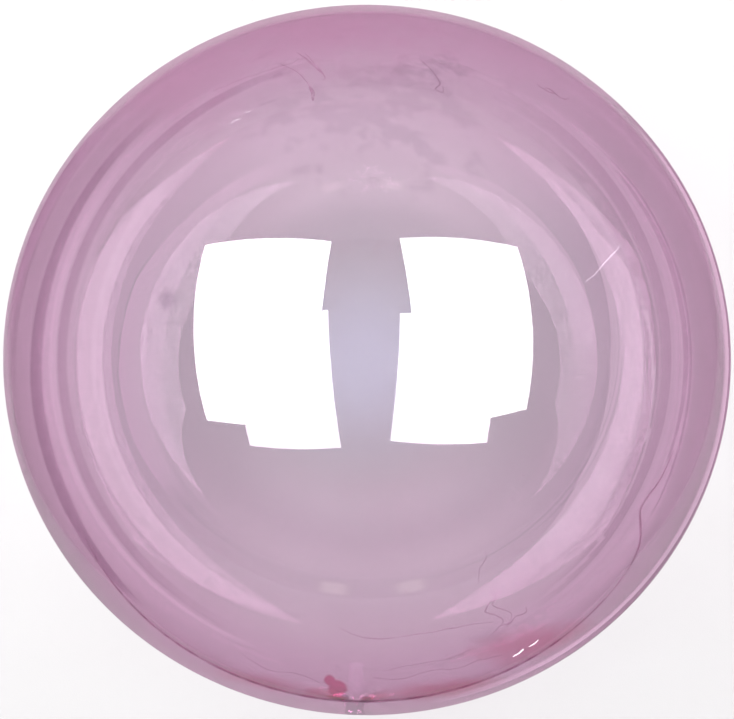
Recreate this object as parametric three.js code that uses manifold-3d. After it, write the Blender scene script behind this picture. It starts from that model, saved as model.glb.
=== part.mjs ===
// Clear bubble balloon: one blown plastic film with its short gathered neck, lying on its side.
//
// Millimetres, +Z up. The neck points along -Y and the crown along +Y. The origin is the middle
// of the small flat spot that the balloon rests on, straight below its centre.
//
// The real film is a few hundredths of a millimetre thick and sealed all round, so the balloon
// is one closed body with the film's outer shape: a slightly squat ball, the pleats where the
// film gathers into its neck, and the flattened neck itself, pinched at the waist and cut off
// square at its welded end.

import * as THREE from 'three';
import { mergeVertices } from 'three/addons/utils/BufferGeometryUtils.js';
import Module from 'manifold-3d';

// The blown ball.
const EQUATOR_RADIUS = 230;
const POLE_RADIUS = 224.2;
const REST_SPOT_RADIUS = 35;

// The neck, along its own axis. Its section is round here and is flattened further down.
const NECK_LENGTH = 11;
const WAIST_RADIUS = 4.3;
const WAIST_FROM_END = 4.5;
const LIP_RADIUS = 5.2;
const NECK_FILLET_RADIUS = 6;

// The neck is pressed flat: wider across (X) and thinner up and down (Z).
const NECK_WIDENING = 1.3;
const NECK_THINNING = 0.6;
const FLATTENING_REACH = 26;

// The pleats run out from the neck and die away over the film: many narrow ones, and fewer wide
// ones that are deepest beside the neck's two flat edges.
const PLEAT_REACH = 60;
const NARROW_PLEATS = 9;
const NARROW_PLEAT_HEIGHT = 1.7;
const NARROW_PLEAT_TURN = 0.6;
const WIDE_PLEATS = 4;
const WIDE_PLEAT_HEIGHT = 1.6;

// How finely the surface is divided, and how close two points are welded.
const STEPS_AROUND = 72;
const CROWN_RINGS = 19;
const LOWER_RINGS = 16;
const PLEAT_RINGS = 9;
const FILLET_RINGS = 4;
const NECK_RINGS = 3;
const WELD_DISTANCE = 0.001;

const FILM_COLOUR = 0xd9a8cc;
const FILM_ROUGHNESS = 0.05;
const FILM_OPACITY = 0.4;

const FILLET_START = WAIST_RADIUS + NECK_FILLET_RADIUS;
const NECK_END_HEIGHT = POLE_RADIUS + NECK_LENGTH;
const WAIST_HEIGHT = NECK_END_HEIGHT - WAIST_FROM_END;

// Distance along the axis of the ball's surface at a given distance from the axis.
function ballHeight(radius) {
  return POLE_RADIUS * Math.sqrt(1 - (radius / EQUATOR_RADIUS) ** 2);
}

// Half outline of the balloon, from the crown on the axis to the middle of the neck's end.
function balloonProfile() {
  const points = [new THREE.Vector2(0, POLE_RADIUS)];
  const addBallRing = (angle) => {
    const radius = EQUATOR_RADIUS * Math.sin(angle);
    points.push(new THREE.Vector2(radius, POLE_RADIUS * Math.cos(angle)));
  };
  for (let i = 1; i <= CROWN_RINGS; i += 1) {
    addBallRing((Math.PI / 2) * (i / CROWN_RINGS));
  }
  const pleatAngle = Math.PI - Math.asin(PLEAT_REACH / EQUATOR_RADIUS);
  for (let i = 1; i <= LOWER_RINGS; i += 1) {
    addBallRing(THREE.MathUtils.lerp(Math.PI / 2, pleatAngle, i / LOWER_RINGS));
  }
  for (let i = 1; i <= PLEAT_RINGS; i += 1) {
    const radius = THREE.MathUtils.lerp(PLEAT_REACH, FILLET_START, i / PLEAT_RINGS);
    points.push(new THREE.Vector2(radius, -ballHeight(radius)));
  }
  const filletTop = -ballHeight(FILLET_START);
  for (let i = 1; i <= FILLET_RINGS; i += 1) {
    const angle = (Math.PI / 2) * (i / FILLET_RINGS);
    const radius = FILLET_START - NECK_FILLET_RADIUS * Math.sin(angle);
    const drop = NECK_FILLET_RADIUS * (1 - Math.cos(angle));
    points.push(new THREE.Vector2(radius, filletTop - drop));
  }
  for (let i = 1; i <= NECK_RINGS; i += 1) {
    const share = i / NECK_RINGS;
    const flare = share * share * (3 - 2 * share);
    const radius = THREE.MathUtils.lerp(WAIST_RADIUS, LIP_RADIUS, flare);
    const height = THREE.MathUtils.lerp(WAIST_HEIGHT, NECK_END_HEIGHT, share);
    points.push(new THREE.Vector2(radius, -height));
  }
  points.push(new THREE.Vector2(0, -NECK_END_HEIGHT));
  return points;
}

// Height of the pleats at a place given by its turn about the axis and its distance from it.
function pleatHeight(turn, radius, height) {
  if (height > 0 || radius > PLEAT_REACH) return 0;
  const alongNeck = 1 - THREE.MathUtils.smoothstep(-height, POLE_RADIUS, WAIST_HEIGHT);
  const nearness = 1 - radius / PLEAT_REACH;
  const narrow = NARROW_PLEAT_HEIGHT * Math.cos(NARROW_PLEATS * turn + NARROW_PLEAT_TURN);
  const wide = WIDE_PLEAT_HEIGHT * Math.cos(WIDE_PLEATS * turn);
  return (narrow + wide) * nearness ** 2 * alongNeck;
}

// The revolved outline with its pleats raised and its neck pressed flat.
function balloonGeometry() {
  const geometry = new THREE.LatheGeometry(balloonProfile().reverse(), STEPS_AROUND);
  const place = geometry.attributes.position;
  const outward = geometry.attributes.normal;
  const point = new THREE.Vector3();
  const normal = new THREE.Vector3();
  for (let i = 0; i < place.count; i += 1) {
    point.fromBufferAttribute(place, i);
    normal.fromBufferAttribute(outward, i);
    const radius = Math.hypot(point.x, point.z);
    const turn = Math.atan2(point.z, point.x);
    point.addScaledVector(normal, pleatHeight(turn, radius, point.y));
    if (point.y < 0) {
      const flatness = 1 - THREE.MathUtils.smoothstep(radius, LIP_RADIUS, FLATTENING_REACH);
      point.x *= THREE.MathUtils.lerp(1, NECK_WIDENING, flatness);
      point.z *= THREE.MathUtils.lerp(1, NECK_THINNING, flatness);
    }
    place.setXYZ(i, point.x, point.y, point.z);
  }
  return geometry;
}

// A closed three.js geometry as a solid that can be cut.
function toSolid(wasm, geometry) {
  const bare = geometry.clone();
  bare.deleteAttribute('normal');
  bare.deleteAttribute('uv');
  const welded = mergeVertices(bare, WELD_DISTANCE);
  return new wasm.Manifold(new wasm.Mesh({
    numProp: 3,
    vertProperties: new Float32Array(welded.attributes.position.array),
    triVerts: new Uint32Array(welded.index.array),
  }));
}

// A cut solid as a three.js geometry again.
function toGeometry(solid) {
  const mesh = solid.getMesh();
  const geometry = new THREE.BufferGeometry();
  geometry.setAttribute('position', new THREE.BufferAttribute(mesh.vertProperties, 3));
  geometry.setIndex(new THREE.BufferAttribute(mesh.triVerts, 1));
  geometry.computeVertexNormals();
  return geometry;
}

// The balloon with the cap below the ground cut away, which leaves the flat spot.
function restingBalloon(wasm) {
  const restHeight = Math.sqrt(EQUATOR_RADIUS ** 2 - REST_SPOT_RADIUS ** 2);
  const balloon = balloonGeometry();
  balloon.translate(0, 0, restHeight);
  const blockSize = 4 * REST_SPOT_RADIUS;
  const ground = new THREE.BoxGeometry(blockSize, blockSize, blockSize);
  ground.translate(0, 0, -blockSize / 2);
  return toGeometry(toSolid(wasm, balloon).subtract(toSolid(wasm, ground)));
}

const wasm = await Module();
wasm.setup();

const filmMaterial = new THREE.MeshStandardMaterial({
  color: FILM_COLOUR,
  roughness: FILM_ROUGHNESS,
  metalness: 0,
  transparent: true,
  opacity: FILM_OPACITY,
});

const film = new THREE.Mesh(restingBalloon(wasm), filmMaterial);
film.name = 'film_bubble';

const balloon = new THREE.Group();
balloon.add(film);

export default balloon;
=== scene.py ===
# %% [markdown]
# # A clear bubble balloon
# This lesson dresses one object: a round balloon blown from clear, pink-tinted film. It lies on
# its side on a pale floor, neck towards -Y. The solid model gives the size and the place; here
# the ball becomes a thin film that light passes through, with pleats, creases and a welded neck.

# %% Load the frame
import math

import bpy
import numpy as np
from mathutils import Matrix, Vector
from mathutils.bvhtree import BVHTree


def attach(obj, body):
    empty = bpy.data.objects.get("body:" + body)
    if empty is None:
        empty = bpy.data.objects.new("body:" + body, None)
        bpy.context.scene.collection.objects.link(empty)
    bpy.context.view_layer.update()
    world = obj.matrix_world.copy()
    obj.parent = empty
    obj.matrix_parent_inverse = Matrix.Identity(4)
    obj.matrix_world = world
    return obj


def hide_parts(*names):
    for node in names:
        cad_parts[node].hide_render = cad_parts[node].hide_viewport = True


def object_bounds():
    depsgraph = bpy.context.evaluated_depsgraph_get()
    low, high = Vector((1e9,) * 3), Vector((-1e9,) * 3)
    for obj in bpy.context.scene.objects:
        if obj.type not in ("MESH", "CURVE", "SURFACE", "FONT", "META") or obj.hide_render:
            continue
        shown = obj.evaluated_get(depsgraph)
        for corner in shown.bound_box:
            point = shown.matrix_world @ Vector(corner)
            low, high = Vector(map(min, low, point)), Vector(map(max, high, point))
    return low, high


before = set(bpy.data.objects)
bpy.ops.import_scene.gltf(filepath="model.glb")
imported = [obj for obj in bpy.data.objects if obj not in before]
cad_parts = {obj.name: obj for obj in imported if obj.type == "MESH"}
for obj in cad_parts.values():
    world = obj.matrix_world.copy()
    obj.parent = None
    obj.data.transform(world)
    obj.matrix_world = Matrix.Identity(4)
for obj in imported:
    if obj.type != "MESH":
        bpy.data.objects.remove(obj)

scene = bpy.context.scene
cad_low, cad_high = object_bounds()
print("solid model, lowest and highest corner:", cad_low[:], cad_high[:])

# %% [markdown]
# ## Sizes
# All sizes are in metres. The ball's equator, crown and rest height are read from the solid
# model's box, so the film fits it. The neck's own sizes repeat the ones it was built with.

# %% Sizes of the ball and the neck
EQUATOR_RADIUS = cad_high.x
CROWN_REACH = cad_high.y
NECK_END = -cad_low.y
CENTRE_HEIGHT = cad_high.z - EQUATOR_RADIUS
CENTRE = Vector((0, 0, CENTRE_HEIGHT))
WAIST_RADIUS = 0.0043
WAIST_FROM_END = 0.0045
LIP_RADIUS = 0.0052
NECK_FILLET_RADIUS = 0.006
NECK_WIDENING = 1.3
NECK_THINNING = 0.6
FLATTENING_REACH = 0.026
PLEAT_REACH = 0.060
print("ball radius", round(EQUATOR_RADIUS, 4), "centre height", round(CENTRE_HEIGHT, 4))

# %% [markdown]
# ## The camera
# A balloon can't stand on its neck, so it lies, and the camera hangs above it. It leans a few
# degrees towards the crown, which puts the neck just inside the lower edge of the ball. It hangs
# six ball radii away: any closer, and the edge of the ball would hide more of its sides.

# %% Place the camera
CAMERA_DISTANCE = 6 * EQUATOR_RADIUS
CAMERA_LEAN = math.radians(8.5)
CAMERA_ROLL = math.radians(2.0)
SENSOR_WIDTH = 36
BALL_SHARE_OF_FRAME = 0.9924

camera_back = Vector((0, math.sin(CAMERA_LEAN), math.cos(CAMERA_LEAN)))
camera_right = Matrix.Rotation(CAMERA_ROLL, 3, camera_back) @ Vector((1, 0, 0))
camera_up = camera_back.cross(camera_right)


def seen_from_camera(right, up, towards):
    """A place given in ball radii from the ball's centre, along the camera's own directions."""
    offset = right * camera_right + up * camera_up + towards * camera_back
    return CENTRE + EQUATOR_RADIUS * offset


camera_data = bpy.data.cameras.new("camera_above")
camera = bpy.data.objects.new("camera_above", camera_data)
scene.collection.objects.link(camera)
camera_axes = Matrix((camera_right, camera_up, camera_back)).transposed()
camera.matrix_world = Matrix.Translation(CENTRE + CAMERA_DISTANCE * camera_back) @ camera_axes.to_4x4()
half_angle_of_ball = math.asin(EQUATOR_RADIUS / CAMERA_DISTANCE)
half_frame_slope = math.tan(half_angle_of_ball) / BALL_SHARE_OF_FRAME
camera_data.sensor_width = SENSOR_WIDTH
camera_data.lens = SENSOR_WIDTH / 2 / half_frame_slope
scene.camera = camera
print("lens", round(camera_data.lens, 1), "mm")

# %% [markdown]
# ## The film's shape
# The real balloon is one seamless bubble of film. A revolved outline gives the ball and the
# neck; then each point moves along its own normal for pleats and slow waves. A subdivided ball
# could be sculpted instead, but arrays are quick and keep the surface smooth, which matters: a
# glossy film shows every bump.

# %% Outline of half the balloon
BALL_RINGS = 150
PLEAT_RINGS = 44
FILLET_RINGS = 12
NECK_RINGS = 10
STEPS_AROUND = 360


def ball_height(radius):
    return CROWN_REACH * np.sqrt(1 - (radius / EQUATOR_RADIUS) ** 2)


def balloon_profile():
    """Radius and height along the neck's axis, from the crown to the edge of the welded end."""
    pleat_angle = math.pi - math.asin(PLEAT_REACH / EQUATOR_RADIUS)
    angle = np.linspace(0, pleat_angle, BALL_RINGS + 1)[1:]
    ball = np.column_stack((EQUATOR_RADIUS * np.sin(angle), CROWN_REACH * np.cos(angle)))
    fillet_start = WAIST_RADIUS + NECK_FILLET_RADIUS
    radius = np.linspace(PLEAT_REACH, fillet_start, PLEAT_RINGS + 1)[1:]
    pleats = np.column_stack((radius, -ball_height(radius)))
    turn = np.linspace(0, math.pi / 2, FILLET_RINGS + 1)[1:]
    fillet_radius = fillet_start - NECK_FILLET_RADIUS * np.sin(turn)
    fillet_height = -ball_height(fillet_start) - NECK_FILLET_RADIUS * (1 - np.cos(turn))
    fillet = np.column_stack((fillet_radius, fillet_height))
    share = np.linspace(0, 1, NECK_RINGS + 1)[1:]
    flare = share * share * (3 - 2 * share)
    neck_radius = WAIST_RADIUS + (LIP_RADIUS - WAIST_RADIUS) * flare
    neck_height = -(NECK_END - WAIST_FROM_END * (1 - share))
    neck = np.column_stack((neck_radius, neck_height))
    return np.vstack((ball, pleats, fillet, neck))


profile = balloon_profile()
print("outline points:", len(profile))

# %% [markdown]
# ## Relief of the film
# Near the neck the film has more length than it needs, so it gathers in pleats. Over the ball it
# is a little uneven, because a stretched bubble never blows perfectly round. A few cosine waves
# of different counts give both.

# %% Heights of pleats and unevenness
NARROW_PLEATS, NARROW_PLEAT_HEIGHT, NARROW_PLEAT_TURN = 9, 0.0017, 0.6
WIDE_PLEATS, WIDE_PLEAT_HEIGHT = 4, 0.0016
FINE_PLEATS, FINE_PLEAT_HEIGHT, FINE_PLEAT_TWIST = 23, 0.00045, 40
SLOW_WAVES = [
    # height, waves round the ball, start, twist from crown to neck
    (0.00022, 3, 1.3, 0),
    (0.00016, 5, -0.8, 2),
    (0.00002, 11, 0, 4),
]


def smooth(low, high, value):
    share = np.clip((value - low) / (high - low), 0, 1)
    return share * share * (3 - 2 * share)


def pleat_height(turn, radius, height):
    below = (height < 0) & (radius < PLEAT_REACH)
    along_neck = 1 - smooth(CROWN_REACH, NECK_END - WAIST_FROM_END, -height)
    nearness = np.clip(1 - radius / PLEAT_REACH, 0, 1)
    narrow = NARROW_PLEAT_HEIGHT * np.cos(NARROW_PLEATS * turn + NARROW_PLEAT_TURN)
    wide = WIDE_PLEAT_HEIGHT * np.cos(WIDE_PLEATS * turn)
    fine = FINE_PLEAT_HEIGHT * np.cos(FINE_PLEATS * turn + FINE_PLEAT_TWIST * radius / PLEAT_REACH)
    return np.where(below, (narrow + wide + fine) * nearness**2 * along_neck, 0)


def unevenness(turn, fall):
    """Slow waves of a few tenths of a millimetre; fall runs from 0 at the crown to pi at the neck."""
    waves = sum(
        height * np.cos(count * turn + start + twist * fall) for height, count, start, twist in SLOW_WAVES
    )
    return waves * np.sin(fall) ** 2


print("pleats:", NARROW_PLEATS, WIDE_PLEATS, FINE_PLEATS, "slow waves:", len(SLOW_WAVES))

# %% [markdown]
# ## The film's surface
# The ball rests on the floor, and its weight makes it sit a little lower than it is wide. Cutting
# it flat below would show at once, because the bottom is a mirror too, seen from inside. So the
# whole lower half is pressed 1% flatter, and it meets the floor in one spot without an edge.

# %% Build the film's surface
CONTACT_SOFTNESS = 0.0001
SETTLING = CENTRE_HEIGHT / EQUATOR_RADIUS


def film_points():
    turn_steps = np.arange(STEPS_AROUND) * 2 * math.pi / STEPS_AROUND
    radius, turn = np.meshgrid(profile[:, 0], turn_steps, indexing="ij")
    height = np.repeat(profile[:, 1:], STEPS_AROUND, axis=1)
    slope = np.gradient(profile, axis=0)
    outward = np.column_stack((-slope[:, 1], slope[:, 0]))
    outward /= np.linalg.norm(outward, axis=1)[:, None]
    fall = np.arctan2(radius, height)
    lift = pleat_height(turn, radius, height) + unevenness(turn, fall)
    radius_now = radius + lift * outward[:, :1]
    height_now = height + lift * outward[:, 1:]
    x, z = radius_now * np.cos(turn), radius_now * np.sin(turn)
    flatness = np.where(height < 0, 1 - smooth(LIP_RADIUS, FLATTENING_REACH, radius), 0)
    x = x * (1 + (NECK_WIDENING - 1) * flatness)
    z = z * (1 + (NECK_THINNING - 1) * flatness)
    z = np.where(z < 0, z * SETTLING, z)
    return np.stack((x, height_now, z + CENTRE_HEIGHT), axis=-1)


def rest_on_floor(points):
    """Keeps the film from dipping under the floor, with a soft start to the contact."""
    z = points[..., 2]
    points[..., 2] = 0.5 * (z + np.sqrt(z * z + CONTACT_SOFTNESS**2))
    return points


def film_surface():
    grid = rest_on_floor(film_points())
    rows = len(grid)
    crown = np.array([[0, CROWN_REACH, CENTRE_HEIGHT]])
    end = np.array([[0, -NECK_END, CENTRE_HEIGHT]])
    points = np.vstack((crown, grid.reshape(-1, 3), end))
    last = len(points) - 1
    faces = []
    for step in range(STEPS_AROUND):
        after = (step + 1) % STEPS_AROUND
        faces.append((0, 1 + after, 1 + step))
        for row in range(rows - 1):
            a, b = 1 + row * STEPS_AROUND, 1 + (row + 1) * STEPS_AROUND
            faces.append((a + step, a + after, b + after, b + step))
        tip = 1 + (rows - 1) * STEPS_AROUND
        faces.append((last, tip + step, tip + after))
    return points.tolist(), faces


points, faces = film_surface()
finishes = [0] * len(faces)
film_tree = BVHTree.FromPolygons(points, faces)
print("film faces:", len(faces), "lowest point", round(min(point[2] for point in points), 5))

# %% [markdown]
# ## Creases, scratches and specks
# Film this thin keeps a mark wherever it was pinched, folded in its pack or dragged over a nail.
# A mark could be a bump in the material, but a fold is a doubled film: it is darker, and it has
# its own edges. So each mark is a thin ribbon, a lens in section, laid on the film along a few
# points. A place on the film is given as it is read off the ball from above: its bearing round
# the ball, in degrees from the right, and its share of the way from middle to edge. The bearing
# is 90 at the crown and 270 at the neck.

# %% Find a place on the film
def camera_ray(bearing, share):
    turn = math.radians(bearing)
    sideways = math.cos(turn) * camera_right + CROWN_REACH / EQUATOR_RADIUS * math.sin(turn) * camera_up
    slope = float(share) * math.tan(half_angle_of_ball)
    return CENTRE + CAMERA_DISTANCE * camera_back, (slope * sideways - camera_back).normalized()


def place_on_film(bearing, share):
    start, direction = camera_ray(bearing, share)
    place, normal, _, _ = film_tree.ray_cast(start, direction)
    assert place, ("the ray misses the film", bearing, share)
    return place, normal


print("top of the film:", [round(value, 4) for value in place_on_film(0, 0)[0]])

# %% A curve through a few places
CURVE_STEP = 0.015


def curve_through(path):
    """More points, a small step apart, on a smooth curve through a few (bearing, share) points."""
    ends = [path[0], *path, path[-1]]
    curve = []
    for before, here, there, beyond in zip(ends, ends[1:], ends[2:], ends[3:]):
        before, here, there, beyond = (np.array(point, float) for point in (before, here, there, beyond))
        round_the_ball = math.radians(there[0] - here[0]) * here[1]
        steps = math.ceil(math.hypot(round_the_ball, there[1] - here[1]) / CURVE_STEP) + 1
        for t in np.arange(steps) / steps:
            bend = 2 * before - 5 * here + 4 * there - beyond
            twist = 3 * here - 3 * there + beyond - before
            curve.append(here + 0.5 * t * (there - before) + 0.5 * t * t * bend + 0.5 * t**3 * twist)
    curve.append(np.array(path[-1], float))
    return curve


print("points on 30 degrees:", len(curve_through([(0, 0.8), (30, 0.8)])))

# %% Lay a ribbon on the film
CREASE, SCRATCH, VALVE, PAINTED_GLINT, FOLD = 1, 2, 3, 4, 5
MARK_THICKNESS = 0.00024
MARK_GAP = 0.00006
MARK_WOBBLE = 0.0012
END_BLUNTNESS = 0.3
OUTERMOST_SHARE = 0.985
unsteady_hand = np.random.default_rng(7)


def lay_ribbon(finish, width, path, wobble=MARK_WOBBLE):
    """A closed ribbon, pointed at both ends, along (bearing, share) points."""
    curve = curve_through(path)
    spots = []
    for bearing, share in curve:
        share += wobble * unsteady_hand.standard_normal()
        spots.append(place_on_film(bearing, min(share, OUTERMOST_SHARE)))
    first = len(points)
    count = len(spots)
    for index, (place, normal) in enumerate(spots):
        ahead = spots[min(index + 1, count - 1)][0] - spots[max(index - 1, 0)][0]
        across = normal.cross(ahead).normalized()
        along = (index + END_BLUNTNESS) / (count - 1 + 2 * END_BLUNTNESS)
        half_width = 0.5 * width * math.sin(math.pi * along) ** 0.5
        middle = place + (MARK_GAP + 0.5 * MARK_THICKNESS) * normal
        rise = 0.5 * MARK_THICKNESS * normal
        for corner in (half_width * across, rise, -half_width * across, -rise):
            points.append(tuple(middle + corner))
    for index in range(count - 1):
        a = first + 4 * index
        for side in range(4):
            after = (side + 1) % 4
            faces.append((a + side, a + 4 + side, a + 4 + after, a + after))
    faces.append((first, first + 1, first + 2, first + 3))
    tip = first + 4 * (count - 1)
    faces.append((tip + 3, tip + 2, tip + 1, tip))
    finishes.extend([finish] * (len(faces) - len(finishes)))


print("a mark is", MARK_THICKNESS * 1000, "mm thick")

# %% Long creases near the neck
LONG_CREASE, FINE_CREASE = 0.0007, 0.0005
lay_ribbon(
    CREASE, LONG_CREASE,
    [(264, 0.755), (267, 0.775), (272, 0.787), (278, 0.787), (285, 0.79), (291, 0.80), (295, 0.815)],
)
lay_ribbon(
    CREASE, LONG_CREASE,
    [(295, 0.84), (297, 0.825), (296, 0.80), (294.5, 0.78), (296, 0.765), (298, 0.755), (297, 0.735)],
)
lay_ribbon(
    CREASE, 0.0006, [(297, 0.845), (299, 0.82), (297.5, 0.79), (296.5, 0.77), (299, 0.75), (298, 0.73)]
)
lay_ribbon(
    CREASE, 0.0009, [(294, 0.845), (296, 0.835), (298, 0.84), (299.5, 0.83), (301.5, 0.835), (302, 0.82)]
)
lay_ribbon(CREASE, 0.0003, [(296, 0.70), (297.5, 0.67), (300, 0.65), (301, 0.63)], 0.002)
lay_ribbon(
    CREASE, FINE_CREASE,
    [(271, 0.895), (276, 0.905), (281, 0.893), (286, 0.905), (290, 0.90), (294, 0.912)],
)
lay_ribbon(CREASE, FINE_CREASE, [(274, 0.875), (279, 0.868), (285, 0.872), (289, 0.865)])
lay_ribbon(CREASE, FINE_CREASE, [(248, 0.90), (253, 0.915), (258, 0.905), (262, 0.92)])
print("faces:", len(faces))

# %% The ring where the folded balloon was pressed flat
RING_FOLD_WIDTH, RING_END_WIDTH = 0.0042, 0.0017
RING_FOLD = [
    (213, 0.922), (224, 0.942), (240, 0.956), (262, 0.963), (285, 0.960), (302, 0.951), (316, 0.936),
]
RING_END = [
    (312, 0.941), (320, 0.930), (325, 0.912), (328, 0.885), (330.5, 0.862), (333, 0.861), (337, 0.872),
    (343, 0.879),
]
lay_ribbon(FOLD, RING_FOLD_WIDTH, RING_FOLD, 0)
lay_ribbon(FOLD, RING_END_WIDTH, RING_END, 0)
print("faces:", len(faces))

# %% Pinches near the crown
lay_ribbon(CREASE, 0.0011, [(102.5, 0.885), (101, 0.86), (99.5, 0.83), (98.2, 0.803), (99, 0.796)])
lay_ribbon(CREASE, 0.0006, [(101.2, 0.882), (100, 0.85), (98.6, 0.82)])
lay_ribbon(CREASE, 0.0006, [(106.5, 0.872), (103.5, 0.835), (102, 0.80), (101.5, 0.775)])
lay_ribbon(CREASE, 0.0022, [(101.6, 0.785), (101.2, 0.765), (101.5, 0.745)], 0)
lay_ribbon(CREASE, 0.0005, [(119, 0.865), (112, 0.86), (106, 0.858), (101, 0.866)])
lay_ribbon(CREASE, 0.0013, [(53, 0.922), (53.6, 0.911), (55, 0.908), (56.5, 0.913), (57.5, 0.907)], 0.001)
lay_ribbon(CREASE, 0.0010, [(55, 0.914), (56.4, 0.905), (58.2, 0.903), (59, 0.908)], 0.001)
lay_ribbon(
    CREASE, 0.0007, [(80, 0.855), (77, 0.825), (75.5, 0.80), (76.2, 0.785), (74.5, 0.78), (75, 0.80)]
)
print("faces:", len(faces))

# %% Scratches, painted glints and specks
SPECK_SIZE = 0.0011
SPECK_TURN = 0.35
SPECKS_ARE_SCRATCHES_BELOW = 0.5
lay_ribbon(SCRATCH, 0.0011, [(20, 0.635), (21, 0.67), (22.8, 0.71), (24, 0.745), (25.4, 0.778)], 0.0004)
lay_ribbon(SCRATCH, 0.0014, [(117, 0.76), (118.5, 0.765), (119.6, 0.758)], 0.0004)
lay_ribbon(SCRATCH, 0.0012, [(114.6, 0.768), (115.8, 0.772)], 0)
lay_ribbon(SCRATCH, 0.0016, [(310.4, 0.752), (309.6, 0.762), (310.2, 0.768)], 0)
# Two painted highlights by the neck: milky white marks where a wrinkle would mirror a lamp.
lay_ribbon(PAINTED_GLINT, 0.0022, [(295.6, 0.927), (296.8, 0.926), (297.8, 0.921)], 0)
lay_ribbon(PAINTED_GLINT, 0.0016, [(298.8, 0.923), (300.0, 0.922), (300.8, 0.918)], 0)
for bearing, share in ((284.5, 0.86), (322.5, 0.538), (279, 0.66), (151, 0.45), (60, 0.35), (95, 0.06)):
    finish = SCRATCH if share < SPECKS_ARE_SCRATCHES_BELOW else CREASE
    lay_ribbon(finish, SPECK_SIZE, [(bearing, share), (bearing + SPECK_TURN, share)], 0)
print("faces:", len(faces))

# %% [markdown]
# ## The valve strip inside the neck
# A balloon like this seals itself: two layers of soft film hang inside the neck, and the air
# presses them together. Seen through the skin they are a pale strip. It is sealed in, so it
# belongs to the looks and not to the solid model. A flat tube of twelve sides with a slow curl
# across it is enough.

# %% Hang the valve strip
VALVE_WIDTH = 0.0095
VALVE_LENGTH = 0.023
VALVE_THICKNESS = 0.0005
VALVE_START = 0.001
WIDTH_AT_WELD, WIDENING_ENDS = 0.86, 0.2
THICKNESS_AT_WELD, THINNING_ENDS = 1.6, 0.25
VALVE_SWING, SWING_TURN = 0.0016, 2.4
VALVE_CURL, CURL_TURN, CURL_START = 0.0011, 2.2 * math.pi, 0.7
VALVE_STEPS, VALVE_SIDES = 14, 12


def hang_valve_strip():
    first = len(points)
    for step in range(VALVE_STEPS + 1):
        share = step / VALVE_STEPS
        y = -CROWN_REACH + VALVE_START + VALVE_LENGTH * share
        sway = VALVE_SWING * math.sin(SWING_TURN * share)
        wide = WIDTH_AT_WELD + (1 - WIDTH_AT_WELD) * smooth(0, WIDENING_ENDS, share)
        thick = THICKNESS_AT_WELD + (1 - THICKNESS_AT_WELD) * smooth(0, THINNING_ENDS, share)
        for side in range(VALVE_SIDES):
            turn = 2 * math.pi * side / VALVE_SIDES
            x = 0.5 * VALVE_WIDTH * wide * math.cos(turn)
            curl = VALVE_CURL * math.cos(CURL_TURN * x / VALVE_WIDTH + CURL_START)
            height = 0.5 * VALVE_THICKNESS * thick * math.sin(turn) + curl * share + sway
            points.append((float(x), float(y), float(CENTRE_HEIGHT + height)))
    for step in range(VALVE_STEPS):
        a = first + VALVE_SIDES * step
        for side in range(VALVE_SIDES):
            after = (side + 1) % VALVE_SIDES
            faces.append((a + side, a + VALVE_SIDES + side, a + VALVE_SIDES + after, a + after))
    faces.append(tuple(first + side for side in range(VALVE_SIDES)))
    tip = first + VALVE_SIDES * VALVE_STEPS
    faces.append(tuple(tip + VALVE_SIDES - 1 - side for side in range(VALVE_SIDES)))
    finishes.extend([VALVE] * (len(faces) - len(finishes)))


hang_valve_strip()
print("faces:", len(faces))


# %% Make the film one piece
def film_mesh(name):
    mesh = bpy.data.meshes.new(name)
    mesh.from_pydata(points, [], faces)
    mesh.polygons.foreach_set("material_index", finishes)
    mesh.shade_smooth()
    return mesh


film = bpy.data.objects.new("film_bubble_skin", film_mesh("film_bubble_skin"))
scene.collection.objects.link(film)
print("all faces of the film:", len(film.data.polygons))

# %% [markdown]
# ## Building materials with nodes
# A material is a small net of nodes. The helpers below add a node, set a number or join a wire,
# do a sum, spread a value over a new range and mix colours or shaders, so that each material
# further down reads as a short recipe.

# %% Helpers for nodes
def add_node(tree, kind, **values):
    """Add a node. A value names a setting of the node or one of its sockets, with _ for a space."""
    made = tree.nodes.new("ShaderNode" + kind)
    for name, value in values.items():
        if hasattr(made, name):
            setattr(made, name, value)
        else:
            plug(tree, value, made.inputs[name.replace("_", " ")])
    return made


def plug(tree, source, socket):
    if isinstance(source, bpy.types.NodeSocket):
        tree.links.new(source, socket)
    else:
        socket.default_value = source


def work_out(tree, operation, first, second=0.0):
    made = add_node(tree, "Math", operation=operation)
    plug(tree, first, made.inputs[0])
    plug(tree, second, made.inputs[1])
    return made.outputs[0]


def spread(tree, value, low, high, to_low=0.0, to_high=1.0):
    """Turn low..high into to_low..to_high with soft ends."""
    made = add_node(tree, "MapRange", interpolation_type="SMOOTHSTEP", From_Min=low, From_Max=high)
    plug(tree, value, made.inputs["Value"])
    plug(tree, to_low, made.inputs["To Min"])
    plug(tree, to_high, made.inputs["To Max"])
    return made.outputs["Result"]


def mix_colours(tree, share, first, second, way="MIX"):
    made = add_node(tree, "Mix", data_type="RGBA", blend_type=way)
    plug(tree, share, made.inputs[0])
    plug(tree, first, made.inputs[6])
    plug(tree, second, made.inputs[7])
    return made.outputs[2]


def mix_shaders(tree, share, first, second):
    made = add_node(tree, "MixShader", Fac=share)
    plug(tree, first.outputs[0], made.inputs[1])
    plug(tree, second.outputs[0], made.inputs[2])
    return made


def new_material(name):
    made = bpy.data.materials.new(name)
    made.use_nodes = True
    made.node_tree.nodes.clear()
    return made, made.node_tree


def show(tree, shader):
    plug(tree, shader.outputs[0], add_node(tree, "OutputMaterial").inputs["Surface"])


print("materials so far:", [material.name for material in bpy.data.materials])

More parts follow.
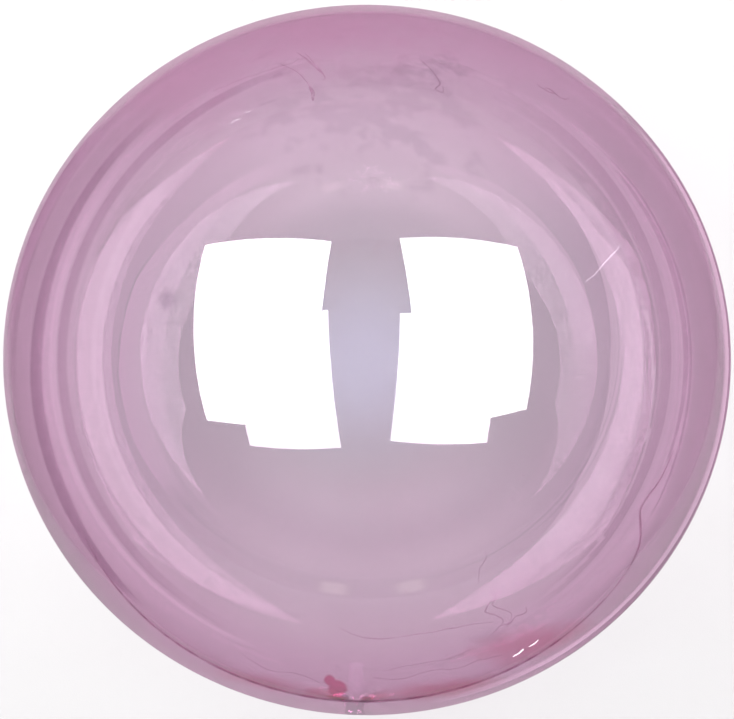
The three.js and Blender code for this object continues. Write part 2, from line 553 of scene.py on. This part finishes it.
# %% [markdown]
# ## Effects that several finishes share
# Node groups keep a shared effect in one place. `mottle` is an uneven mask, as breath, dust or
# an uneven melt leaves it. `flow_lines` are the faint streaks that run from crown to neck where
# the film was stretched most. `film_patch` is a soft-edged patch at one place on the ball. All
# three read the place on the object, so they stay put when the camera moves.

# %% Helpers for groups
def new_group(name, inputs, output):
    group = bpy.data.node_groups.new(name, "ShaderNodeTree")
    for label, kind, value in inputs:
        socket = group.interface.new_socket(label, in_out="INPUT", socket_type=kind)
        socket.default_value = value
    group.interface.new_socket(output, in_out="OUTPUT", socket_type="NodeSocketFloat")
    return group, group.nodes.new("NodeGroupInput"), group.nodes.new("NodeGroupOutput")


def place_group(tree, group, **values):
    made = tree.nodes.new("ShaderNodeGroup")
    made.node_tree = group
    for name, value in values.items():
        plug(tree, value, made.inputs[name.replace("_", " ")])
    return made.outputs[0]


# %% The mottle group
mottle, asked, given = new_group(
    "mottle",
    [
        ("Scale", "NodeSocketFloat", 20.0),
        ("Low", "NodeSocketFloat", 0.4),
        ("High", "NodeSocketFloat", 0.7),
    ],
    "Mask",
)
place = add_node(mottle, "TexCoord")
noise = add_node(mottle, "TexNoise", Detail=3.0, Roughness=0.6)
mottle.links.new(place.outputs["Object"], noise.inputs["Vector"])
mottle.links.new(asked.outputs["Scale"], noise.inputs["Scale"])
mask = spread(mottle, noise.outputs["Fac"], 0.0, 1.0)
mask_range = mask.node
mottle.links.new(asked.outputs["Low"], mask_range.inputs["From Min"])
mottle.links.new(asked.outputs["High"], mask_range.inputs["From Max"])
mottle.links.new(mask, given.inputs["Mask"])
print("mottle has", len(mottle.nodes), "nodes")

# %% The flow line group
flow_lines, asked, given = new_group(
    "flow_lines",
    [("Lines Across", "NodeSocketFloat", 60.0), ("Lines Along", "NodeSocketFloat", 3.0)],
    "Height",
)
place = add_node(flow_lines, "TexCoord")
stretch = add_node(flow_lines, "CombineXYZ")
for axis, source in (("X", "Lines Across"), ("Y", "Lines Along"), ("Z", "Lines Across")):
    flow_lines.links.new(asked.outputs[source], stretch.inputs[axis])
stretched = add_node(flow_lines, "VectorMath", operation="MULTIPLY")
flow_lines.links.new(place.outputs["Object"], stretched.inputs[0])
flow_lines.links.new(stretch.outputs[0], stretched.inputs[1])
noise = add_node(flow_lines, "TexNoise", Scale=1.0, Detail=1.0, Roughness=0.4)
flow_lines.links.new(stretched.outputs[0], noise.inputs["Vector"])
flow_lines.links.new(noise.outputs["Fac"], given.inputs["Height"])
print("flow_lines has", len(flow_lines.nodes), "nodes")

# %% The patch group
film_patch, asked, given = new_group(
    "film_patch",
    [
        ("Middle", "NodeSocketVector", (0, 0, 0)),
        ("Size", "NodeSocketVector", (0.03, 0.03, 0.03)),
        ("Raggedness", "NodeSocketFloat", 0.0),
        ("Unevenness", "NodeSocketFloat", 0.5),
        ("Softness", "NodeSocketFloat", 0.8),
    ],
    "Mask",
)
place = add_node(film_patch, "TexCoord")
away = add_node(film_patch, "VectorMath", operation="SUBTRACT")
film_patch.links.new(place.outputs["Object"], away.inputs[0])
film_patch.links.new(asked.outputs["Middle"], away.inputs[1])
sized = add_node(film_patch, "VectorMath", operation="DIVIDE")
film_patch.links.new(away.outputs[0], sized.inputs[0])
film_patch.links.new(asked.outputs["Size"], sized.inputs[1])
distance = add_node(film_patch, "VectorMath", operation="LENGTH")
film_patch.links.new(sized.outputs[0], distance.inputs[0])
uneven = work_out(film_patch, "SUBTRACT", asked.outputs["Unevenness"], 0.5)
ragged = work_out(film_patch, "MULTIPLY", uneven, asked.outputs["Raggedness"])
edge = work_out(film_patch, "ADD", distance.outputs["Value"], ragged)
inner_edge = work_out(film_patch, "SUBTRACT", 1.0, asked.outputs["Softness"])
mask = spread(film_patch, edge, 0.0, 1.0, 1.0, 0.0)
film_patch.links.new(inner_edge, mask.node.inputs["From Min"])
film_patch.links.new(mask, given.inputs["Mask"])
print("groups:", [group.name for group in bpy.data.node_groups])

# %% [markdown]
# ## The clear film
# The real skin is a stretchy film, under a tenth of a millimetre thick. It doesn't bend the
# light that goes through, so glass with refraction would be wrong: the ball would turn into a
# lens. A Transparent shader with a tint lets light straight through, and a Glossy shader on top
# mirrors the room. Seen at a slant the light crosses more film, so the tint deepens and the
# mirror grows stronger; Layer Weight gives that slant. Looking from inside, the mirror is a
# little stronger. Rays from lamps skip the mirror, which keeps the shadow on the floor clear.

# %% [markdown]
# ## Where the tint is deeper
# The film stretches least at the crown and at the neck, so it is thicker and pinker there. By the
# neck it is also gathered into small red knots. Strips of mesh could show this, but many clear
# layers over each other turn black in a render, so these are stains in the film's own colour.
# Smudges and one grey spot are stains too. Along the pressed ring the tint also carries a painted
# shade, deepest on the ring and fading towards the middle of the ball.

# %% Places of the stains
PINK_PATCHES = [
    # bearing, share of the radius, size in three directions, strength
    (100, 0.97, (0.150, 0.060, 0.150), 0.60),
    (122, 0.95, (0.090, 0.070, 0.120), 0.55),
    (70, 0.98, (0.120, 0.050, 0.150), 0.25),
]
NECK_PINK = [
    (300, 0.925, (0.062, 0.022, 0.060), 0.85),
    (283, 0.955, (0.050, 0.015, 0.040), 1.00),
    (262, 0.948, (0.016, 0.013, 0.020), 0.90),
    (252, 0.955, (0.050, 0.012, 0.060), 0.60),
    (272, 0.950, (0.014, 0.010, 0.012), 0.90),
]
GATHERS = [
    # the same, then raggedness and softness of the edge
    (264.9, 0.932, (0.0072, 0.020, 0.0150), 1.0, 0.35, 0.35),
    (263.6, 0.912, (0.0042, 0.020, 0.0085), 1.0, 0.30, 0.40),
    (265.0, 0.955, (0.0085, 0.020, 0.0050), 1.0, 0.20, 0.50),
    (270.2, 0.955, (0.0050, 0.020, 0.0042), 0.9, 0.20, 0.60),
]
DEEP_GATHERS = [
    (265.0, 0.9590, (0.0080, 0.020, 0.0026), 1.0, 0.15, 0.6),
    (270.0, 0.9590, (0.0036, 0.020, 0.0022), 0.9, 0.15, 0.6),
]
SMUDGES = [
    (163, 0.572, (0.0085, 0.0085, 0.010), 0.95, 0.3),
    (88, 0.72, (0.065, 0.034, 0.060), 0.34, 2.4),
    (78, 0.83, (0.022, 0.010, 0.030), 0.55, 2.0),
    (84, 0.66, (0.026, 0.016, 0.030), 0.38, 2.6),
    (293, 0.845, (0.012, 0.007, 0.02), 0.30, 1.5),
    (283, 0.885, (0.008, 0.006, 0.01), 0.35, 1.0),
]
print("smudges:", len(SMUDGES), "gathers:", len(GATHERS) + len(DEEP_GATHERS))

# %% Masks from places
def patch_mask(tree, uneven, bearing, share, size, strength, raggedness=0.3, softness=0.9):
    mask = place_group(
        tree, film_patch, Middle=place_on_film(bearing, share)[0], Size=size,
        Raggedness=raggedness, Unevenness=uneven, Softness=softness,
    )
    return work_out(tree, "MULTIPLY", mask, strength)


def any_of(tree, uneven, patches):
    masks = [patch_mask(tree, uneven, *patch) for patch in patches]
    total = masks[0]
    for mask in masks[1:]:
        total = work_out(tree, "MAXIMUM", total, mask)
    return total


def stained(tree, tint, mask, stain):
    """The tint, deepened by a stain where the mask says so."""
    deeper = mix_colours(tree, 1.0, tint, stain, "MULTIPLY")
    return mix_colours(tree, mask, tint, deeper)


# %% Painted shade along the pressed ring
RING_SHADE_WIDTH = 0.020
RING_SHADE_EDGE = 0.0015
RING_SHADE_FULL, RING_SHADE_GONE = -0.19, -0.12


def painted_ring_shade(tree):
    """Painted shade, deepest on the pressed ring and fading towards the middle of the ball."""
    left, middle, right = (place_on_film(*RING_FOLD[index])[0] for index in (1, 3, 6))
    upright = (right - left).cross(middle - left).normalized()
    if upright.z < 0:
        upright = -upright
    place = add_node(tree, "TexCoord").outputs["Object"]
    above = add_node(tree, "VectorMath", operation="DOT_PRODUCT")
    plug(tree, place, above.inputs[0])
    plug(tree, upright, above.inputs[1])
    height = work_out(tree, "SUBTRACT", above.outputs["Value"], upright.dot(middle))
    inner_side = spread(tree, height, 0.0, RING_SHADE_WIDTH, 1.0, 0.0)
    outer_side = spread(tree, height, -RING_SHADE_EDGE, 0.0)
    along = add_node(tree, "SeparateXYZ", Vector=place).outputs["Y"]
    towards_neck = spread(tree, along, RING_SHADE_FULL, RING_SHADE_GONE, 1.0, 0.0)
    both_sides = work_out(tree, "MULTIPLY", inner_side, outer_side)
    return work_out(tree, "MULTIPLY", both_sides, towards_neck)


# %% The film's colours
RING_PAINTED_SHADE = (0.74, 0.52, 0.63, 1)
GATHER_RED = (0.82, 0.22, 0.42, 1)
DEEP_RED = (0.62, 0.12, 0.35, 1)
TINT_FACE_ON = (0.836, 0.832, 0.850, 1)
TINT_AT_A_SLANT = (0.688, 0.425, 0.605, 1)
TINT_SLANT_POWER = 0.73
TINT_FOR_LAMPS = (0.965, 0.940, 0.960, 1)
DEEPER_PINK = (0.98, 0.73, 0.86, 1)
NECK_RED = (0.90, 0.47, 0.60, 1)
SMUDGE_GREY = (0.72, 0.70, 0.74, 1)
CLOUDY_PINK = 0.10

clear_film, tree = new_material("clear_film")
slant = add_node(tree, "LayerWeight", Blend=0.5).outputs["Facing"]
tint_share = work_out(tree, "POWER", slant, TINT_SLANT_POWER)
tint = mix_colours(tree, tint_share, TINT_FACE_ON, TINT_AT_A_SLANT)
uneven = place_group(tree, mottle, Scale=55.0, Low=0.25, High=0.75)
cloudy = place_group(tree, mottle, Scale=5.0, Low=0.35, High=0.75)
clouds = work_out(tree, "MULTIPLY", cloudy, CLOUDY_PINK)
pinker = work_out(tree, "MAXIMUM", any_of(tree, uneven, PINK_PATCHES), clouds)
tint = stained(tree, tint, pinker, DEEPER_PINK)
tint = stained(tree, tint, any_of(tree, uneven, NECK_PINK), NECK_RED)
# painted shade along the inside of the pressed ring
tint = stained(tree, tint, painted_ring_shade(tree), RING_PAINTED_SHADE)
tint = stained(tree, tint, any_of(tree, uneven, GATHERS), GATHER_RED)
tint = stained(tree, tint, any_of(tree, uneven, DEEP_GATHERS), DEEP_RED)
tint = stained(tree, tint, any_of(tree, uneven, SMUDGES), SMUDGE_GREY)
lamp_ray = add_node(tree, "LightPath").outputs["Is Shadow Ray"]
tint = mix_colours(tree, lamp_ray, tint, TINT_FOR_LAMPS)
clear = add_node(tree, "BsdfTransparent", Color=tint)
print("colour nodes:", len(tree.nodes))

# %% The film's mirror
MIRROR_FACE_ON = 0.09
MIRROR_AT_A_SLANT = 0.40
MIRROR_SLANT_POWER = 3.0
MIRROR_FROM_INSIDE = 1.5
SMOOTHEST, ROUGHEST = 0.012, 0.035
STREAK_DEPTH = 0.00008

streaks = place_group(tree, flow_lines, Lines_Across=70.0, Lines_Along=4.0)
bump = add_node(tree, "Bump", Strength=0.2, Distance=STREAK_DEPTH, Height=streaks)
roughness = spread(tree, cloudy, 0.0, 1.0, SMOOTHEST, ROUGHEST)
mirror = add_node(tree, "BsdfGlossy", Roughness=roughness, Normal=bump.outputs[0])
mirror_growth = work_out(tree, "POWER", slant, MIRROR_SLANT_POWER)
mirror_share = spread(tree, mirror_growth, 0.0, 1.0, MIRROR_FACE_ON, MIRROR_AT_A_SLANT)
mirror_share.node.interpolation_type = "LINEAR"
inside = add_node(tree, "NewGeometry").outputs["Backfacing"]
inside_gain = spread(tree, inside, 0.0, 1.0, 1.0, MIRROR_FROM_INSIDE)
mirror_share = work_out(tree, "MULTIPLY", mirror_share, inside_gain)
not_for_lamps = work_out(tree, "SUBTRACT", 1.0, lamp_ray)
mirror_share = work_out(tree, "MULTIPLY", mirror_share, not_for_lamps)
show(tree, mix_shaders(tree, mirror_share, clear, mirror))
film.data.materials.append(clear_film)
print("clear_film has", len(tree.nodes), "nodes")

# %% [markdown]
# ## Folds, scratches and the valve strip
# A crease or a fold is the same film twice, so it only tints the light more. A scratch is
# roughened film: it catches the light and looks pale. Two short marks by the neck are painted
# highlights: milky white where a wrinkle would mirror a lamp. The valve strip is soft and a
# little milky. All five are a tint mixed with some matt white, and the mottle group thins both in
# places, which keeps them from looking printed.

# %% Five finishes from one recipe
NO_TINT = (1, 1, 1, 1)
MATT_WHITE = (0.93, 0.86, 0.92, 1)
MOST_THINNING = 0.45


def marked_film(name, tint, milkiness):
    made, tree = new_material(name)
    uneven = place_group(tree, mottle, Scale=140.0, Low=0.35, High=0.7)
    thinning = spread(tree, uneven, 0.0, 1.0, MOST_THINNING, 0.0)
    clear = add_node(tree, "BsdfTransparent", Color=mix_colours(tree, thinning, tint, NO_TINT))
    matt = add_node(tree, "BsdfDiffuse", Color=MATT_WHITE, Roughness=0.5)
    milky = spread(tree, uneven, 0.0, 1.0, milkiness, 0.5 * milkiness)
    show(tree, mix_shaders(tree, milky, clear, matt))
    film.data.materials.append(made)


marked_film("film_crease", (0.87, 0.77, 0.83, 1), 0.01)
marked_film("film_scratch", (0.99, 0.97, 0.99, 1), 0.05)
marked_film("valve_film", (0.98, 0.93, 0.97, 1), 0.014)
# the painted glints: milky white marks standing in for a lamp mirrored in a wrinkle
marked_film("film_painted_glint", (0.99, 0.97, 0.98, 1), 0.30)
marked_film("film_fold", (0.76, 0.60, 0.69, 1), 0.01)
print("finishes:", [material.name for material in film.data.materials])

# %% [markdown]
# ## The floor
# The floor is a sheet of pale studio paper. It has to look even and almost white, because it is
# what the eye sees through the film; a very faint mottle and grain keep it from looking empty.
# The paper itself is grey, and a strong even light makes it look white. White paper would need
# less of that light, and then the uneven light of the soft boxes would show on it.

# %% Lay the paper
FLOOR_REACH = 3.0
floor_mesh = bpy.data.meshes.new("floor")
corners = [(-1, -1), (1, -1), (1, 1), (-1, 1)]
floor_mesh.from_pydata([(x * FLOOR_REACH, y * FLOOR_REACH, 0) for x, y in corners], [], [(0, 1, 2, 3)])
floor = bpy.data.objects.new("floor", floor_mesh)
scene.collection.objects.link(floor)
print("paper:", 2 * FLOOR_REACH, "m wide")

# %% The paper's finish
PAPER_LIGHT = (0.215, 0.215, 0.214, 1)
PAPER_DARK = (0.210, 0.209, 0.208, 1)
GRAIN_DEPTH = 0.0002

paper, tree = new_material("pale_paper")
uneven = place_group(tree, mottle, Scale=3.0, Low=0.3, High=0.7)
fibres = place_group(tree, mottle, Scale=900.0)
grain = add_node(tree, "Bump", Strength=0.1, Distance=GRAIN_DEPTH, Height=fibres)
paper_shader = add_node(tree, "BsdfPrincipled", Roughness=0.9, Normal=grain.outputs[0])
plug(tree, mix_colours(tree, uneven, PAPER_LIGHT, PAPER_DARK), paper_shader.inputs["Base Color"])
show(tree, paper_shader)
floor_mesh.materials.append(paper)
print("paper has", len(tree.nodes), "nodes")

# %% [markdown]
# ## Two soft boxes
# A glossy ball shows its lamps. Each large soft box is mirrored twice: upright and small in the
# near film, which bulges towards the camera, and upside down in the far film, which is hollow.
# The two pictures overlap, and that gives the bright window its stepped outline. The corners are
# given in ball radii from the ball's centre: right, up and towards the camera.

# %% Hang the soft boxes
def hang_soft_box(name, watts, top_left, top_right, bottom_left, bottom_right):
    corners = [seen_from_camera(*corner) for corner in (top_left, top_right, bottom_left, bottom_right)]
    middle = sum(corners, Vector()) / 4
    across = (corners[1] - corners[0] + corners[3] - corners[2]) / 2
    down = (corners[0] - corners[2] + corners[1] - corners[3]) / 2
    data = bpy.data.lights.new(name, "AREA")
    data.shape = "RECTANGLE"
    data.size, data.size_y = across.length, down.length
    data.energy = watts
    box = bpy.data.objects.new(name, data)
    scene.collection.objects.link(box)
    right = across.normalized()
    back = right.cross(down).normalized()
    if back.dot(middle - CENTRE) < 0:
        back = -back
        right = -right
    axes = Matrix((right, back.cross(right), back)).transposed()
    box.matrix_world = Matrix.Translation(middle) @ axes.to_4x4()
    box.visible_camera = False
    print(name, "is", round(data.size, 2), "by", round(data.size_y, 2), "m")


hang_soft_box(
    "soft_box_left", 33,
    (-3.3, 2.48, 2.77), (-0.66, 2.4, 3.66), (-3.73, -1.41, 3.69), (-1.08, -1.48, 4.58),
)
hang_soft_box(
    "soft_box_right", 50,
    (0.87, 3.43, 4.84), (4.76, 3.77, 4.22), (1.49, -2.01, 5.81), (5.38, -1.67, 5.2),
)

# %% [markdown]
# ## Even light from above
# The soft boxes stand at an angle, so they light the paper unevenly. A sun lamp straight above
# gives the same light everywhere. It is wide, for a soft shadow, and it isn't mirrored: the film
# has two bright windows, and a third would be wrong.

# %% Light the paper evenly
overhead_data = bpy.data.lights.new("overhead", "SUN")
overhead_data.energy = 4.5
overhead_data.angle = math.radians(20)
overhead = bpy.data.objects.new("overhead", overhead_data)
scene.collection.objects.link(overhead)
overhead.location = CENTRE + Vector((0, 0, 2))
overhead.visible_glossy = False
print("lamps:", [lamp.name for lamp in bpy.data.lights])

# %% [markdown]
# ## Cards for the film to mirror
# Clear film has no shading of its own: its form shows only in what it mirrors. So white and dark
# cards stand round it. Here a card is planned backwards: it is drawn as the patch where the film
# shall mirror it, and each of its points is found by following the camera's ray to the ball and
# on to a wall, the floor or the ceiling. The cards glow softly, fade at their edges, and are
# hidden from the camera and from matt surfaces. Where two cards share a direction, a higher
# layer stands a little nearer.

# %% Follow a mirrored ray
CARD_HEIGHT = 0.002
LAYER_GAP = 0.01
LEAST_SLOPE = 0.001
CEILING = 9 * EQUATOR_RADIUS


def mirrored_place(bearing, share, reach, layer, by_far_film=False):
    """Where the mirrored ray ends: on a wall that is reach ball radii away, floor or ceiling."""
    start, direction = camera_ray(bearing, share)
    start = start - CENTRE
    to_round = Vector((1, EQUATOR_RADIUS / CROWN_REACH, 1))
    round_start, round_direction = start * to_round, direction * to_round
    squared, along = round_direction.length_squared, round_start.dot(round_direction)
    beyond = round_start.length_squared - EQUATOR_RADIUS**2
    side = 1 if by_far_film else -1
    met = start + (-along + side * math.sqrt(along**2 - squared * beyond)) / squared * direction
    outward = (met * to_round * to_round).normalized()
    mirrored = direction - 2 * direction.dot(outward) * outward
    turn = math.radians(bearing)
    sideways = -side * (math.cos(turn) * camera_right + math.sin(turn) * camera_up)
    steps = []
    if mirrored.dot(sideways) > LEAST_SLOPE:
        steps.append((reach * EQUATOR_RADIUS - met.dot(sideways)) / mirrored.dot(sideways))
    if mirrored.z > 0:
        steps.append((CEILING - met.z) / mirrored.z)
    else:
        steps.append((CARD_HEIGHT - CENTRE_HEIGHT - met.z) / mirrored.z)
    return CENTRE + met + min(steps) * (1 - LAYER_GAP * layer) * mirrored


print("the right edge mirrors", [round(value, 2) for value in mirrored_place(0, 0.9, 7, 0)])

# %% A card that fades at its edges
def card_material(name, colour, brightness, fades):
    """fades: the share of the card that each edge takes to fade: start, end, inner, outer."""
    made, tree = new_material(name)
    apart = add_node(tree, "SeparateXYZ", Vector=add_node(tree, "UVMap").outputs[0])
    start, end, inner, outer = fades
    along, across = apart.outputs["X"], apart.outputs["Y"]
    cover = 1.0
    edges = ((along, 0, start), (along, 1, 1 - end), (across, 0, inner), (across, 1, 1 - outer))
    for value, low, high in edges:
        if low != high:
            fade = spread(tree, value, min(low, high), max(low, high), float(low), float(1 - low))
            cover = fade if cover == 1.0 else work_out(tree, "MULTIPLY", cover, fade)
    glow = add_node(tree, "Emission", Color=(*colour, 1), Strength=brightness)
    show(tree, mix_shaders(tree, cover, add_node(tree, "BsdfTransparent"), glow))
    return made


# %% Stand a card between two lines
CARD_STEPS, CARD_ROWS = 60, 24
EVEN_FADES = (0.1, 0.1, 0.1, 0.1)


def stand_card(
    name, brightness, colour, inner, outer, fades=EVEN_FADES, reach=7, layer=0, by_far_film=False
):
    """A card that the film mirrors between two lines of (bearing, share) points."""
    inner_bearing, inner_share = zip(*inner)
    outer_bearing, outer_share = zip(*outer)
    places, marks, quads = [], [], []
    for i in range(CARD_STEPS + 1):
        bearing = inner_bearing[0] + (inner_bearing[-1] - inner_bearing[0]) * i / CARD_STEPS
        low = float(np.interp(bearing, inner_bearing, inner_share))
        high = float(np.interp(bearing, outer_bearing, outer_share))
        for k in range(CARD_ROWS + 1):
            share = low + (high - low) * k / CARD_ROWS
            places.append(mirrored_place(bearing, share, reach, layer, by_far_film))
            marks.append((i / CARD_STEPS, k / CARD_ROWS))
    for i in range(CARD_STEPS):
        for k in range(CARD_ROWS):
            a = i * (CARD_ROWS + 1) + k
            quads.append((a, a + 1, a + CARD_ROWS + 2, a + CARD_ROWS + 1))
    mesh = bpy.data.meshes.new(name)
    mesh.from_pydata(places, [], quads)
    layer_of_marks = mesh.uv_layers.new(name="UVMap")
    for loop in mesh.loops:
        layer_of_marks.data[loop.index].uv = marks[loop.vertex_index]
    mesh.materials.append(card_material(name, colour, brightness, fades))
    card = bpy.data.objects.new(name, mesh)
    scene.collection.objects.link(card)
    card.visible_camera = False
    card.visible_diffuse = False
    card.visible_shadow = False
    print(name, "has", len(quads), "faces")


# %% White cards at both sides
PINKISH = (1.0, 0.80, 0.94)
BLACK = (0.0, 0.0, 0.0)
stand_card(
    "white_card_left", 1.55, PINKISH,
    inner=[(128, 0.715), (150, 0.722), (170, 0.728), (235, 0.731), (258, 0.742)],
    outer=[(128, 0.725), (150, 0.787), (170, 0.802), (205, 0.802), (235, 0.785), (258, 0.748)],
    fades=(0.12, 0.08, 0.04, 0.06), reach=5.3,
)
stand_card(
    "white_card_right", 1.25, PINKISH,
    inner=[(-72, 0.735), (-50, 0.695), (-30, 0.668), (0, 0.665), (20, 0.685), (45, 0.705), (62, 0.71)],
    outer=[
        (-72, 0.74), (-50, 0.758), (-38, 0.785), (-20, 0.775), (0, 0.766), (20, 0.765), (30, 0.73),
        (62, 0.715),
    ],
    fades=(0.08, 0.2, 0.06, 0.1), reach=13,
)

# %% [markdown]
# ## Low cards, placed by the far film
# The far film is a hollow mirror, and it turns its picture round: a card at the ball's right
# shows at its left. The inner crescents of the real film are such pictures. So these cards are
# planned on the far film, and they stand close beside the ball, where the near film mirrors
# them only in a hair-thin line. The two dark ones cover bare floor, which would be too bright.

# %% Low cards close beside the ball
BESIDE_THE_BALL, JUST_BEHIND = 1.35, 1.37

stand_card(
    "low_card_right", 1.9, PINKISH,
    inner=[(98, 0.540), (140, 0.572), (200, 0.585), (222, 0.600)],
    outer=[
        (98, 0.600), (115, 0.605), (140, 0.625), (150, 0.643), (160, 0.665), (185, 0.677), (200, 0.675),
        (222, 0.650),
    ],
    fades=(0.25, 0.12, 0.4, 0.04), reach=BESIDE_THE_BALL, by_far_film=True,
)
stand_card(
    "low_shade_right", 0.70, PINKISH,
    inner=[
        (110, 0.608), (140, 0.628), (150, 0.646), (160, 0.668), (185, 0.680), (200, 0.678), (235, 0.650),
    ],
    outer=[(110, 0.715), (150, 0.738), (235, 0.745)],
    fades=(0.25, 0.25, 0.02, 0.12), reach=JUST_BEHIND, by_far_film=True,
)
stand_card(
    "low_shade_left", 0.6, PINKISH,
    inner=[(-45, 0.520), (12, 0.535)], outer=[(-45, 0.650), (12, 0.650)],
    fades=(0.2, 0.5, 0.2, 0.2), reach=BESIDE_THE_BALL, by_far_film=True,
)

# %% Dark cards on the floor by the ball
FAR_WALL = 14

for name, start, end in (("dark_under_right", -62, 62), ("dark_under_left", 118, 242)):
    stand_card(
        name, 0.05, PINKISH,
        inner=[(start, 0.746), (end, 0.746)], outer=[(start, 0.802), (end, 0.802)],
        fades=(0.3, 0.3, 0.12, 0.25), reach=FAR_WALL, by_far_film=True,
    )

# %% [markdown]
# ## Bands near the rim
# Near its rim the film mirrors the floor far away. There the real film shows a grey band with
# darker and lighter strips in it. One grey card goes all round, and the strips are cards of
# their own in higher layers.

# %% A grey card all round
stand_card(
    "grey_ring", 0.75, (1.0, 0.88, 0.96),
    inner=[
        (-90, 0.79), (-72, 0.755), (-50, 0.775), (-38, 0.795), (-20, 0.780), (0, 0.771), (30, 0.768),
        (120, 0.768), (150, 0.790), (170, 0.805), (205, 0.805), (235, 0.790), (258, 0.765), (270, 0.79),
    ],
    outer=[
        (-90, 0.962), (-62, 0.953), (-40, 0.925), (-20, 0.955), (20, 0.985), (200, 0.985), (225, 0.945),
        (270, 0.962),
    ],
    fades=(0, 0, 0.04, 0.05), reach=FAR_WALL,
)

# %% Strips at the left
LEFT_STRIPS = [
    # name, brightness, colour, inner line, outer line, fades
    (
        "dark_strip_left", 1, BLACK,
        [(95, 0.835), (130, 0.820), (170, 0.825), (250, 0.825)],
        [(95, 0.855), (130, 0.850), (170, 0.856), (250, 0.855)],
        (0.2, 0.25, 0.3, 0.15),
    ),
    (
        "light_strip_left", 1.3, PINKISH,
        [(125, 0.857), (180, 0.857), (258, 0.860)],
        [(125, 0.885), (180, 0.888), (258, 0.872)],
        (0.3, 0.15, 0.08, 0.5),
    ),
    (
        "dark_edge_left", 1, BLACK,
        [(126, 0.888), (175, 0.890), (205, 0.900), (230, 0.925)],
        [(126, 0.912), (160, 0.922), (190, 0.935), (215, 0.940), (230, 0.942)],
        (0.2, 0.1, 0.25, 0.25),
    ),
]
for strip in LEFT_STRIPS:
    stand_card(*strip, reach=FAR_WALL, layer=1)

# %% Strips at the right
RIGHT_STRIPS = [
    (
        "shade_right", 1, BLACK,
        [(-45, 0.775), (-38, 0.792), (-20, 0.777), (0, 0.768), (30, 0.766), (65, 0.760)],
        [(-45, 0.806), (65, 0.806)],
        (0.25, 0.4, 0.08, 0.15),
    ),
    (
        "dark_strip_right", 1, BLACK,
        [(-60, 0.799), (-30, 0.799), (0, 0.799), (70, 0.805)],
        [(-60, 0.848), (-30, 0.836), (0, 0.838), (70, 0.855)],
        (0.2, 0.3, 0.4, 0.08),
    ),
    (
        "light_strip_right", 0.85, PINKISH,
        [(-68, 0.850), (-30, 0.840), (0, 0.843), (60, 0.858)],
        [(-68, 0.860), (-30, 0.868), (60, 0.87)],
        (0.15, 0.4, 0.1, 0.6),
    ),
]
for strip in RIGHT_STRIPS:
    stand_card(*strip, reach=FAR_WALL, layer=1)

# %% Two thin dark lines over them
RIGHT_LINES = [
    (
        "dark_edge_right", 1, BLACK,
        [(-20, 0.870), (0, 0.870), (20, 0.870), (40, 0.865)],
        [(-20, 0.876), (0, 0.886), (20, 0.886), (40, 0.872)],
        (0.05, 0.1, 0.1, 0.2),
    ),
    (
        "dark_line_right", 1, BLACK,
        [(-34, 0.892), (-10, 0.886), (15, 0.887), (34, 0.879), (48, 0.865)],
        [(-34, 0.899), (-10, 0.895), (15, 0.896), (34, 0.887), (48, 0.870)],
        (0.2, 0.2, 0.3, 0.3),
    ),
]
for strip in RIGHT_LINES:
    stand_card(*strip, reach=FAR_WALL, layer=2)

# %% [markdown]
# ## Softer light from above and behind
# Large cards with very soft edges give the middle of the ball its slow change of colour: pink
# towards the crown and the neck, and a cool ceiling straight above. Two small warm cards leave
# the pair of faint marks above the neck.

# %% Large soft cards
GLOW_WALL = 9

stand_card(
    "glow_beyond_crown", 1.8, (1.0, 0.84, 0.94),
    inner=[(15, 0.28), (165, 0.28)], outer=[(15, 0.87), (165, 0.87)],
    fades=(0.4, 0.4, 0.45, 0.35), reach=GLOW_WALL,
)
stand_card(
    "glow_beyond_neck", 1.2, (1.0, 0.88, 0.94),
    inner=[(205, 0.50), (335, 0.50)], outer=[(205, 0.88), (335, 0.88)],
    fades=(0.4, 0.4, 0.3, 0.35), reach=GLOW_WALL,
)
stand_card(
    "cool_ceiling", 1.35, (0.52, 0.58, 1.0),
    inner=[(0, 0.0), (360, 0.0)], outer=[(0, 0.38), (360, 0.38)], fades=(0, 0, 0, 0.9),
)

# %% Two small warm cards
for name, start, end in (("small_card_left", 256, 268), ("small_card_right", 275, 287)):
    stand_card(
        name, 2.0, (1.0, 0.92, 0.88),
        inner=[(start, 0.625), (end, 0.625)], outer=[(start, 0.675), (end, 0.675)],
        fades=(0.4, 0.4, 0.3, 0.3), reach=6,
    )

# %% [markdown]
# ## The air of the room
# Between the cards the film mirrors empty air, so the world is a weak violet light. Where the
# camera looks past the floor it sees a plain pale wall instead: a Light Path node picks one or
# the other. The Standard view keeps white white.

# %% Light the air
AIR_COLOUR, AIR_STRENGTH = (0.95, 0.90, 1.0, 1), 0.25
WALL_COLOUR = (0.80, 0.80, 0.81, 1)

world = bpy.data.worlds.new("studio")
scene.world = world
world.use_nodes = True
air = world.node_tree
air_light = air.nodes["Background"]
air_light.inputs["Color"].default_value = AIR_COLOUR
air_light.inputs["Strength"].default_value = AIR_STRENGTH
seen_air = add_node(air, "Background", Color=WALL_COLOUR, Strength=1.0)
air_mix = mix_shaders(air, add_node(air, "LightPath").outputs["Is Camera Ray"], air_light, seen_air)
plug(air, air_mix.outputs[0], air.nodes["World Output"].inputs["Surface"])
scene.view_settings.view_transform = "Standard"
print("air:", AIR_STRENGTH)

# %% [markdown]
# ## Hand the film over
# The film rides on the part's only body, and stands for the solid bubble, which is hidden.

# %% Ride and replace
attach(film, "root")
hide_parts("film_bubble")
